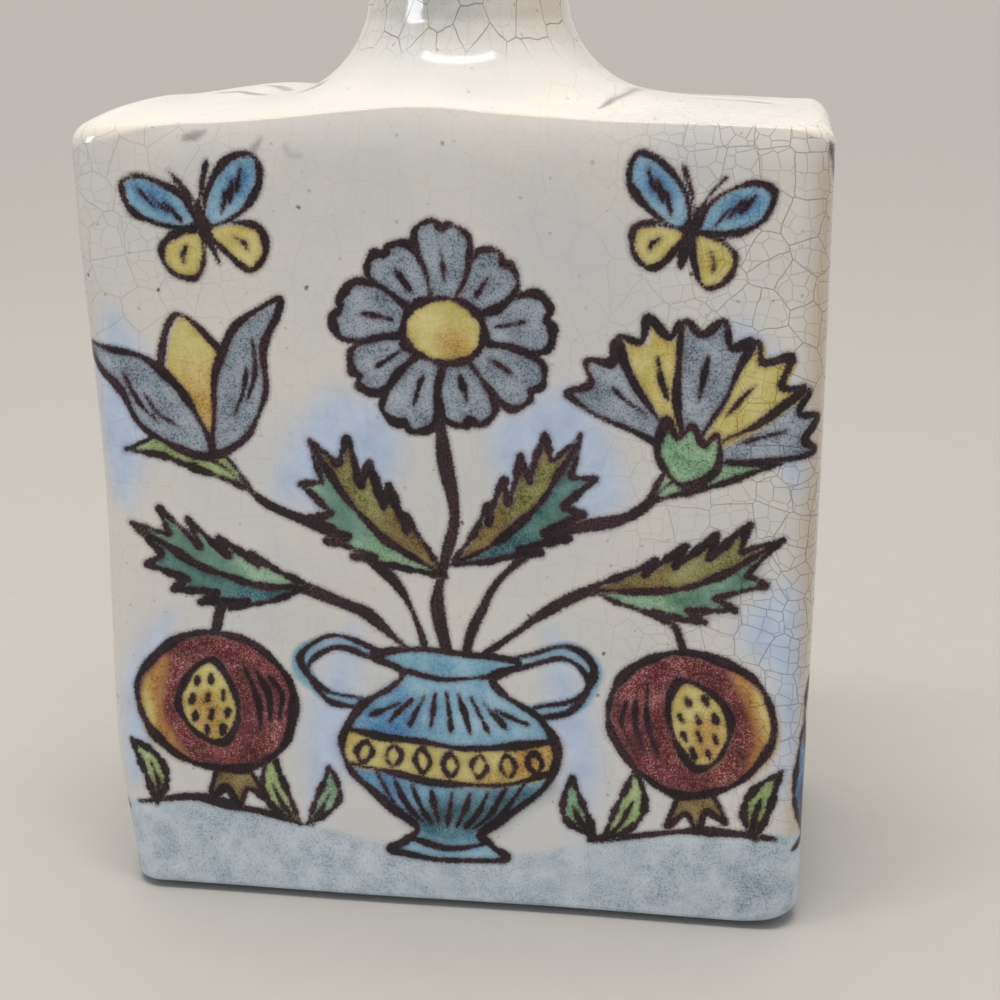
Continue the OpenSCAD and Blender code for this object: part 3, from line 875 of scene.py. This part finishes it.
# the neck: flare, sweep and lip turned about the axis, then the bore, the spigot and back to the seam
def makeNeck():
    t = neck["wall"]
    sweepC = (neck["throatR"] + neck["sweepR"], neck["throatZ"])
    rise = neck["lipTop"] - neck["throatZ"] - 0.5 * t
    lipA = np.degrees(np.arcsin(rise / (neck["sweepR"] + 0.5 * t)))
    startA = 180 + np.degrees(np.arcsin((neck["throatZ"] - vase["collarTop"]) / neck["flareR"]))
    lipC = sectionArc(sweepC, neck["sweepR"] + 0.5 * t, 180 - lipA, 180, 2)[0]
    bore = neck["throatR"] - t
    flareC = (neck["flareC"], neck["throatZ"])
    down = np.linspace(neck["throatZ"], vase["spigotZ"], neckRows["bore"])
    outer = np.vstack([sectionArc(flareC, neck["flareR"], startA, 180, neckRows["flare"])[:-1],
                       sectionArc(sweepC, neck["sweepR"], 180, 180 - lipA, neckRows["sweep"])[:-1],
                       sectionArc(lipC, 0.5 * t, -lipA, 180 - lipA, neckRows["lip"])[:-1],
                       sectionArc(sweepC, neck["sweepR"] + t, 180 - lipA, 180, neckRows["inside"])[:-1],
                       np.stack([np.full(len(down), bore), down], -1)])
    spigotR = bore + neck["spigotT"]
    seat = np.array([(spigotR, vase["spigotZ"]), (spigotR, vase["collarTop"])])
    angle = ringAngle[::2]
    turned = lambda s: np.stack([s[:, :1] * np.cos(angle), s[:, :1] * np.sin(angle),
                                 np.broadcast_to(s[:, 1:], (len(s), len(angle)))], -1)
    throwing = neckLook["rings"] * np.sin(outer[:, 1] * 2.1) * smooth(outer[:, 1], 120, 126)
    grid = turned(outer + np.stack([throwing, 0 * throwing], -1))
    oval = neckLook["oval"] * np.sin(2 * angle + 0.7)[:, None] * smooth(grid[..., 2:], 119, 140)
    grid[:, :, :2] += oval * np.sign(grid[..., :2])
    normals = gridNormals(grid).reshape(-1, 3)
    number = numbered(*grid.shape[:2])
    spigot = numbered(2, len(angle), first=number.size)
    outerQuads = gridQuads(number, closed=True)
    closing = gridQuads(np.vstack([number[-1:], spigot, number[:1]]), closed=True)
    vertices = np.vstack([grid.reshape(-1, 3), turned(seat).reshape(-1, 3)])
    colours = {key: np.zeros((number.size,) + value.shape[2:]) for key, value in paint.items()}
    x, y, z = grid.reshape(-1, 3).T
    lipThin = neckLook["lipThin"] * np.exp(-((z - neck["lipTop"]) / 1.6) ** 2)
    # the front just above the flare, where a shade and a reflection are painted on the neck
    front = smooth(-y, 0, 6) * smooth(z, 121, 127)
    # thin glaze at the lip, and beige painted as shade on the right of the front
    colours["thinGlazeAndShade"] = np.maximum(lipThin, neckLook["rightPaintedShade"] * front * smooth(x, 1, 11))
    # grey painted as a reflection in the middle of the front, laid like a wash
    colours["hue"] += linear(neckLook["grey"])
    colours["cover"] = neckLook["reflectionCover"] * front * np.exp(-((x + 2) / 7) ** 2)
    colours["crackle"] = neckLook["seamCrackle"] + (1 - neckLook["seamCrackle"]) * smooth(z, 119.6, 123)
    turnLength = neckLook["cellWide"] * 2 * np.pi * neck["throatR"]
    upward = np.cumsum(np.linalg.norm(np.diff(outer, axis=0, prepend=outer[:1]), axis=-1))
    ringTurn = turnLength * ((angle - 0.5 * np.pi) / (2 * np.pi) % 1)
    climbed = neckLook["cellTall"] * upward[:, None]
    colours["flat"] = np.stack(np.broadcast_arrays(ringTurn, climbed), -1).reshape(-1, 2)
    faces = outerQuads.tolist() + closing.tolist()
    return makePiece("glazed_neck", ["neck"], vertices, faces, len(outerQuads), normals, colours,
                     turnLength)


pieces = [makeWall(name) for name in wallNames] + [makeShoulder(), makeNeck()]

print("stage: materials")


# adds a node: its settings, then each input's value or the socket that feeds it
def addNode(tree, kind, inputs=None, **settings):
    node = tree.nodes.new("ShaderNode" + kind)
    for key, value in settings.items():
        setattr(node, key, value)
    for key, value in (inputs or {}).items():
        if isinstance(value, bpy.types.NodeSocket):
            tree.links.new(value, node.inputs[key])
        else:
            node.inputs[key].default_value = value
    return node.outputs


# a new material with its nodes, its shader and the place on the object in millimetres
def newMaterial(name):
    material = bpy.data.materials.new(name)
    material.use_nodes = True
    tree = material.node_tree
    shader = tree.nodes["Principled BSDF"]
    place = addNode(tree, "TexCoord")["Object"]
    inMm = addNode(tree, "VectorMath", {0: place, "Scale": 1 / mm}, operation="SCALE")[0]
    return material, tree, shader, inMm


# patterns in the glaze: each noise's size in mm, levels of detail and roughness
patterns = dict(clouds=(18, 6, 0.6), patches=(13, 2, 0.5), pools=(4, 5, 0.6), grain=(0.26, 2, 0.7),
                streaks=(0.6, 2, 0.5), dryness=(7, 2, 0.5), fray=(0.38, 3, 0.7), grit=(0.28, 3, 0.6),
                swell=(14, 2, 0.5), peel=(1.5, 2, 0.5), wear=(5, 2, 0.5))
glazeHues = dict(warm="#D4D0C9", cool="#C9CACA", thinGlazeAndShade="#BDA688", stain="#C2B298", fleck="#50443F",
                 pale="#CDBBB5", bleed="#583C48", core="#0B060C", rust="#4C2E37", crack="#B0A89E")
# wide and fine crackle cells and how far grain moves a brush line's edge, in mm, and the gloss
glazeLook = dict(cells=(4.6, 2.2), frayed=0.8, roughness=(0.07, 0.14), ior=1.46, specular=0.27)


# painted crackle glaze: a cool white ground with creamy clouds and a fine net of stained cracks, watery
# colour washes that break into grain, brush lines with a fuzzy mauve edge, all under a clear, slightly
# uneven gloss
def makeGlaze():
    material, tree, shader, at = newMaterial("painted crackle glaze")
    hues = {key: rgba(value) for key, value in glazeHues.items()}
    noise = {key: addNode(tree, "TexNoise", {"Vector": at, "Scale": 1 / size, "Detail": detail,
                                             "Roughness": roughness})["Fac"]
             for key, (size, detail, roughness) in patterns.items()}
    ink, cover, speck, thinGlazeAndShade, show = (addNode(tree, "Attribute", attribute_name=key)["Fac"]
                                     for key in ("ink", "cover", "speck", "thinGlazeAndShade", "crackle"))
    hue = addNode(tree, "Attribute", attribute_name="hue")["Color"]
    flat = addNode(tree, "Attribute", attribute_name="flat")["Vector"]

    # ground: warm and cool clouds, beige where the glaze is thin and where shade is painted on the neck's
    # right
    clouds = addNode(tree, "MapRange", {"Value": noise["clouds"], "From Min": 0.35, "From Max": 0.68})[0]
    colour = addNode(tree, "Mix", {0: clouds, 6: hues["warm"], 7: hues["cool"]}, data_type="RGBA")[2]
    beige = addNode(tree, "Math", {0: thinGlazeAndShade, 1: 0.6}, operation="MULTIPLY")[0]
    colour = addNode(tree, "Mix", {0: beige, 6: colour, 7: hues["thinGlazeAndShade"]}, data_type="RGBA")[2]

    # crackle on the laid flat surface: wide cells, each broken again by a fine net of its own, so that the
    # finer cracks end on the wider ones; lines of about 0.1 mm, the finer ones in patches
    sway = addNode(tree, "TexNoise", {"Vector": flat, "Scale": 1 / 4, "Detail": 2.0},
                   noise_dimensions="2D")["Color"]
    sway = addNode(tree, "VectorMath", {0: sway, 1: (0.9, 0.9, 0.9), 2: flat}, operation="MULTIPLY_ADD")[0]
    wideMm, fineMm = glazeLook["cells"]
    toEdge = dict(voronoi_dimensions="2D", feature="DISTANCE_TO_EDGE")
    net = {"Vector": sway, "Scale": 1 / wideMm, "Randomness": 0.75}
    wide = addNode(tree, "TexVoronoi", net, **toEdge)["Distance"]
    cell = addNode(tree, "TexVoronoi", net, voronoi_dimensions="2D")["Color"]
    apart = addNode(tree, "VectorMath", {0: cell, 1: (60, 60, 60), 2: sway}, operation="MULTIPLY_ADD")[0]
    net = {"Vector": apart, "Scale": 1 / fineMm, "Randomness": 0.65}
    fine = addNode(tree, "TexVoronoi", net, **toEdge)["Distance"]
    chip = addNode(tree, "TexVoronoi", net, voronoi_dimensions="2D")["Color"]
    wide = addNode(tree, "MapRange", {"Value": wide, "From Min": 0.02 / wideMm, "From Max": 0.105 / wideMm,
                                      "To Min": 1.0, "To Max": 0.0})[0]
    fine = addNode(tree, "MapRange", {"Value": fine, "From Min": 0.015 / fineMm, "From Max": 0.10 / fineMm,
                                      "To Min": 0.85, "To Max": 0.0})[0]
    up = addNode(tree, "SeparateXYZ", {0: at})["Z"]
    sparse = addNode(tree, "MapRange", {"Value": up, "From Min": 118, "From Max": 123,
                                        "To Min": 1.0, "To Max": 0.4})[0]
    patch = addNode(tree, "MapRange", {"Value": noise["patches"], "From Min": 0.36, "From Max": 0.62,
                                       "To Min": 0.35})[0]
    patch = addNode(tree, "Math", {0: patch, 1: sparse}, operation="MULTIPLY")[0]
    fine = addNode(tree, "Math", {0: fine, 1: patch}, operation="MULTIPLY")[0]
    cracks = addNode(tree, "Math", {0: wide, 1: fine}, operation="MAXIMUM")[0]
    cracks = addNode(tree, "Math", {0: cracks, 1: show}, operation="MULTIPLY")[0]
    stain = addNode(tree, "SeparateColor", {0: chip})[0]
    stain = addNode(tree, "MapRange", {"Value": stain, "From Min": 0.5, "From Max": 1.0, "To Max": 0.12})[0]
    stain = addNode(tree, "Math", {0: stain, 1: show}, operation="MULTIPLY")[0]
    colour = addNode(tree, "Mix", {0: stain, 6: colour, 7: hues["stain"]}, data_type="RGBA")[2]

    # ragged iron flecks of about 0.5 mm, a few on each face, and fainter ones of about 0.3 mm
    ragged = addNode(tree, "TexNoise", {"Vector": flat, "Scale": 1 / 0.5, "Detail": 2.0},
                     noise_dimensions="2D")["Color"]
    ragged = addNode(tree, "VectorMath", {0: ragged, 1: (0.5, 0.5, 0.5), 2: flat},
                     operation="MULTIPLY_ADD")[0]
    for spacing, radius, strength in ((10.0, 0.40, 0.9), (4.0, 0.26, 0.4)):
        fleck = addNode(tree, "TexVoronoi", {"Vector": ragged, "Scale": 1 / spacing},
                        voronoi_dimensions="2D")
        chosen = addNode(tree, "SeparateColor", {0: fleck["Color"]})[0]
        chosen = addNode(tree, "MapRange", {"Value": chosen, "From Min": 0.60, "From Max": 0.85,
                                            "To Max": strength})[0]
        spot = addNode(tree, "MapRange", {"Value": fleck["Distance"], "From Min": radius / spacing,
                                          "From Max": 0.3 * radius / spacing})[0]
        spot = addNode(tree, "Math", {0: spot, 1: chosen}, operation="MULTIPLY")[0]
        colour = addNode(tree, "Mix", {0: spot, 6: colour, 7: hues["fleck"]}, data_type="RGBA")[2]

    # washes: they lie thicker in pools and in grains that gather there, and a layer of n times the
    # thickness shows the n-th power of the colour; some colours break into pale specks where thin
    grain = addNode(tree, "Math", {0: noise["pools"], 1: -0.4, 2: noise["grain"]},
                    operation="MULTIPLY_ADD")[0]
    pool = addNode(tree, "MapRange", {"Value": noise["pools"], "From Min": 0.3, "From Max": 0.7,
                                      "To Min": 0.78, "To Max": 1.24})[0]
    dark = addNode(tree, "MapRange", {"Value": grain, "From Min": 0.38, "From Max": 0.10, "To Max": 1.7})[0]
    dark = addNode(tree, "Math", {0: dark, 1: dark}, operation="MULTIPLY")[0]
    share = addNode(tree, "Math", {0: speck}, operation="ABSOLUTE")[0]
    depth = addNode(tree, "Math", {0: dark, 1: share, 2: pool}, operation="MULTIPLY_ADD")[0]
    hue = addNode(tree, "Gamma", {"Color": hue, "Gamma": depth})[0]
    pale = addNode(tree, "MapRange", {"Value": grain, "From Min": 0.35, "From Max": 0.51})[0]
    paleShare = addNode(tree, "Math", {0: speck, 1: 1.3}, operation="MULTIPLY", use_clamp=True)[0]
    pale = addNode(tree, "Math", {0: pale, 1: paleShare}, operation="MULTIPLY")[0]
    hue = addNode(tree, "Mix", {0: pale, 6: hue, 7: hues["pale"]}, data_type="RGBA")[2]
    streak = addNode(tree, "MapRange", {"Value": noise["streaks"], "From Min": 0.30, "From Max": 0.52,
                                        "To Min": 0.93})[0]
    laid = addNode(tree, "Math", {0: cover, 1: streak}, operation="MULTIPLY")[0]
    colour = addNode(tree, "Mix", {0: laid, 6: colour, 7: hue}, data_type="RGBA")[2]

    # brush lines: a near-black core that turns red-brown where the brush ran dry, and a mauve bleed, both
    # frayed by grain
    dry = addNode(tree, "MapRange", {"Value": noise["dryness"], "From Min": 0.44, "From Max": 0.62})[0]
    frayed = glazeLook["frayed"]
    edge = addNode(tree, "Math", {0: noise["fray"], 1: frayed, 2: ink}, operation="MULTIPLY_ADD")[0]
    edge = addNode(tree, "Math", {0: edge, 1: inkReach + 0.5 * frayed}, operation="SUBTRACT")[0]
    edge = addNode(tree, "Math", {0: dry, 1: -0.14, 2: edge}, operation="MULTIPLY_ADD")[0]
    bleed = addNode(tree, "MapRange", {"Value": edge, "From Min": -0.60, "From Max": 0.05,
                                       "To Max": 0.44})[0]
    colour = addNode(tree, "Mix", {0: bleed, 6: colour, 7: hues["bleed"]}, data_type="RGBA")[2]
    grit = addNode(tree, "MapRange", {"Value": noise["grit"], "From Min": 0.40, "From Max": 0.64})[0]
    rusty = addNode(tree, "Math", {0: dry, 1: 0.7, 2: 0.3}, operation="MULTIPLY_ADD")[0]
    rusty = addNode(tree, "Math", {0: rusty, 1: grit}, operation="MULTIPLY")[0]
    core = addNode(tree, "Mix", {0: rusty, 6: hues["core"], 7: hues["rust"]}, data_type="RGBA")[2]
    full = addNode(tree, "MapRange", {"Value": edge, "From Min": -0.16, "From Max": 0.14,
                                      "To Max": 0.97})[0]
    colour = addNode(tree, "Mix", {0: full, 6: colour, 7: core}, data_type="RGBA")[2]
    colour = addNode(tree, "Mix", {0: cracks, 6: colour, 7: hues["crack"]}, data_type="RGBA",
                     blend_type="MULTIPLY")[2]

    # gloss over slow waves of the clay, a fine peel and shallow crack grooves; heights in mm
    height = addNode(tree, "Math", {0: noise["swell"], 1: 0.05}, operation="MULTIPLY")[0]
    height = addNode(tree, "Math", {0: noise["peel"], 1: 0.005, 2: height}, operation="MULTIPLY_ADD")[0]
    height = addNode(tree, "Math", {0: cracks, 1: -0.004, 2: height}, operation="MULTIPLY_ADD")[0]
    bump = addNode(tree, "Bump", {"Height": height, "Distance": mm})[0]
    smoothest, roughest = glazeLook["roughness"]
    wear = addNode(tree, "MapRange", {"Value": noise["wear"], "From Min": 0.3, "From Max": 0.7,
                                      "To Min": smoothest, "To Max": roughest})[0]
    tree.links.new(colour, shader.inputs["Base Color"])
    tree.links.new(wear, shader.inputs["Roughness"])
    tree.links.new(bump, shader.inputs["Normal"])
    shader.inputs["IOR"].default_value = glazeLook["ior"]
    shader.inputs["Specular IOR Level"].default_value = glazeLook["specular"]
    return material


# sizes of the clay's mottling, iron specks and pits in mm, and its hues
clayLook = dict(mottle=9, specks=0.8, pits=0.6, pitDepth=0.15, roughness=0.85,
                pale="#B8926A", dark="#A67E58", iron="#6B4A33")


# bare fired clay: buff with iron specks and a dry, finely pitted surface
def makeClay():
    material, tree, shader, at = newMaterial("bare fired earthenware")
    pale, dark, rust = (rgba(clayLook[key]) for key in ("pale", "dark", "iron"))
    tone = addNode(tree, "TexNoise", {"Vector": at, "Scale": 1 / clayLook["mottle"], "Detail": 4.0})["Fac"]
    tone = addNode(tree, "MapRange", {"Value": tone, "From Min": 0.3, "From Max": 0.7})[0]
    colour = addNode(tree, "Mix", {0: tone, 6: pale, 7: dark}, data_type="RGBA")[2]
    iron = addNode(tree, "TexNoise", {"Vector": at, "Scale": 1 / clayLook["specks"], "Detail": 2.0})["Fac"]
    iron = addNode(tree, "MapRange", {"Value": iron, "From Min": 0.66, "From Max": 0.74})[0]
    colour = addNode(tree, "Mix", {0: iron, 6: colour, 7: rust}, data_type="RGBA")[2]
    pits = addNode(tree, "TexNoise", {"Vector": at, "Scale": 1 / clayLook["pits"], "Detail": 4.0})["Fac"]
    bump = addNode(tree, "Bump", {"Height": pits, "Distance": clayLook["pitDepth"] * mm})[0]
    tree.links.new(colour, shader.inputs["Base Color"])
    tree.links.new(bump, shader.inputs["Normal"])
    shader.inputs["Roughness"].default_value = clayLook["roughness"]
    return material


glaze, clay = makeGlaze(), makeClay()
for piece in pieces:
    piece.data.materials.append(glaze)
for node in ("base_slab", "base_coil", "front_left_coil", "front_right_coil", "back_left_coil",
             "back_right_coil", "neck_coil"):
    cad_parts[node].data.materials.clear()
    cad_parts[node].data.materials.append(clay)

print("stage: floor, light and camera")


# half the floor's width in metres, its roller grain in mm, and its hues
floorLook = dict(half=12.0, grain=6.0, pale="#A8A7A5", dark="#A4A3A1", roughness=0.7)


# floor: one large square under the vase in a pale matt paint with a trace of roller grain
def makeFloor():
    half = floorLook["half"]
    mesh = bpy.data.meshes.new("floor")
    square = [(-half, -half, 0), (half, -half, 0), (half, half, 0), (-half, half, 0)]
    mesh.from_pydata(square, [], [(0, 1, 2, 3)])
    floor = bpy.data.objects.new("floor", mesh)
    bpy.context.scene.collection.objects.link(floor)
    material, tree, shader, at = newMaterial("matt floor paint")
    pale, dark = rgba(floorLook["pale"]), rgba(floorLook["dark"])
    grain = addNode(tree, "TexNoise", {"Vector": at, "Scale": 1 / floorLook["grain"], "Detail": 3})["Fac"]
    colour = addNode(tree, "Mix", {0: grain, 6: pale, 7: dark}, data_type="RGBA")[2]
    tree.links.new(colour, shader.inputs["Base Color"])
    shader.inputs["Roughness"].default_value = floorLook["roughness"]
    mesh.materials.append(material)


# matrix that turns a thing to its own three axes and moves it to a place in metres
def pose(side, up, back, at):
    axes = np.stack([side, up, back], 1)
    return Matrix([[*row, p] for row, p in zip(axes, at)] + [[0, 0, 0, 1]])


# area light aimed at the vase; one that only gleams is mirrored by the gloss and lights nothing else
def addLight(name, at, size, watts, colour, onlyGleams):
    light = bpy.data.lights.new(name, "AREA")
    light.shape = "RECTANGLE"
    light.size, light.size_y = size
    light.energy = watts
    light.color = linear(colour)
    lamp = bpy.data.objects.new(name, light)
    lamp.visible_diffuse = not onlyGleams
    aim = np.array([0, 0, 0.1]) - at
    back = -aim / np.linalg.norm(aim)
    side = np.cross((0, 1, 0) if abs(back[2]) > 0.95 else (0, 0, 1), back)
    side /= np.linalg.norm(side)
    lamp.matrix_world = pose(side, np.cross(back, side), back, at)
    bpy.context.scene.collection.objects.link(lamp)


# soft daylight from one direction, as wide in the sky as an angle in degrees; the gloss doesn't mirror it
def addSun(name, towards, width, strength, colour):
    light = bpy.data.lights.new(name, "SUN")
    light.angle = np.radians(width)
    light.energy = strength
    light.color = linear(colour)
    lamp = bpy.data.objects.new(name, light)
    lamp.visible_glossy = False
    lamp.rotation_mode = "QUATERNION"
    lamp.rotation_quaternion = Vector(towards).to_track_quat("Z", "Y")
    bpy.context.scene.collection.objects.link(lamp)


# camera: placed and aimed by the photograph's perspective, as yaw, pitch and roll in degrees
view = dict(at=(40.3, -241.1, 131.9), yaw=8.61, pitch=-17.48, roll=-0.49, lens=61.2, sensor=36.0)


# the camera's axes: ahead from yaw and pitch, level across it, and both turned by the roll
def addCamera():
    yaw, pitch, roll = np.radians([view["yaw"], view["pitch"], view["roll"]])
    ahead = np.array([-np.sin(yaw) * np.cos(pitch), np.cos(yaw) * np.cos(pitch), np.sin(pitch)])
    level = np.array([np.cos(yaw), np.sin(yaw), 0])
    over = np.cross(level, ahead)
    right = np.cos(roll) * level + np.sin(roll) * over
    up = np.cos(roll) * over - np.sin(roll) * level
    lens = bpy.data.cameras.new("camera")
    lens.lens, lens.sensor_width = view["lens"], view["sensor"]
    lens.clip_start = 0.01
    camera = bpy.data.objects.new("camera", lens)
    camera.matrix_world = pose(right, up, -ahead, np.array(view["at"]) * mm)
    bpy.context.scene.collection.objects.link(camera)
    bpy.context.scene.camera = camera


# area lights, their places and sizes in metres, and the daylight
lamps = {"ceiling_tube": dict(at=(-0.035, -0.155, 0.62), size=(0.46, 0.07), watts=1.75, colour="#FFF8EE",
                              onlyGleams=False),
         "window": dict(at=(-0.569, -0.393, 0.40), size=(0.25, 0.30), watts=6.0, colour="#F2F6FF",
                        onlyGleams=True)}
daylight = dict(towards=(-0.01, 0.0, 1.0), width=40, strength=2.01, colour="#FFF0DD")

makeFloor()
for name, lamp in lamps.items():
    addLight(name, **lamp)
addSun("daylight", **daylight)
addCamera()

# the room's even light: cool in front of the vase, a warmer and brighter white behind it
roomLight = dict(front="#EEF3FA", back="#F4F1EB", level=0.71, more=0.10)
world = bpy.data.worlds.new("studio")
bpy.context.scene.world = world
world.use_nodes = True
tree = world.node_tree
room = tree.nodes["Background"]
towards = addNode(tree, "TexCoord")["Generated"]
towards = addNode(tree, "VectorMath", {0: towards, 1: (-0.3, 1, 0)}, operation="DOT_PRODUCT")["Value"]
behind = addNode(tree, "MapRange", {"Value": towards, "From Min": -0.2, "From Max": 0.9})[0]
cool, warm = rgba(roomLight["front"]), rgba(roomLight["back"])
tint = addNode(tree, "Mix", {0: behind, 6: cool, 7: warm}, data_type="RGBA")[2]
level = addNode(tree, "Math", {0: behind, 1: roomLight["more"], 2: roomLight["level"]},
                operation="MULTIPLY_ADD")[0]
tree.links.new(tint, room.inputs["Color"])
tree.links.new(level, room.inputs["Strength"])
bpy.context.scene.view_settings.view_transform = "Standard"
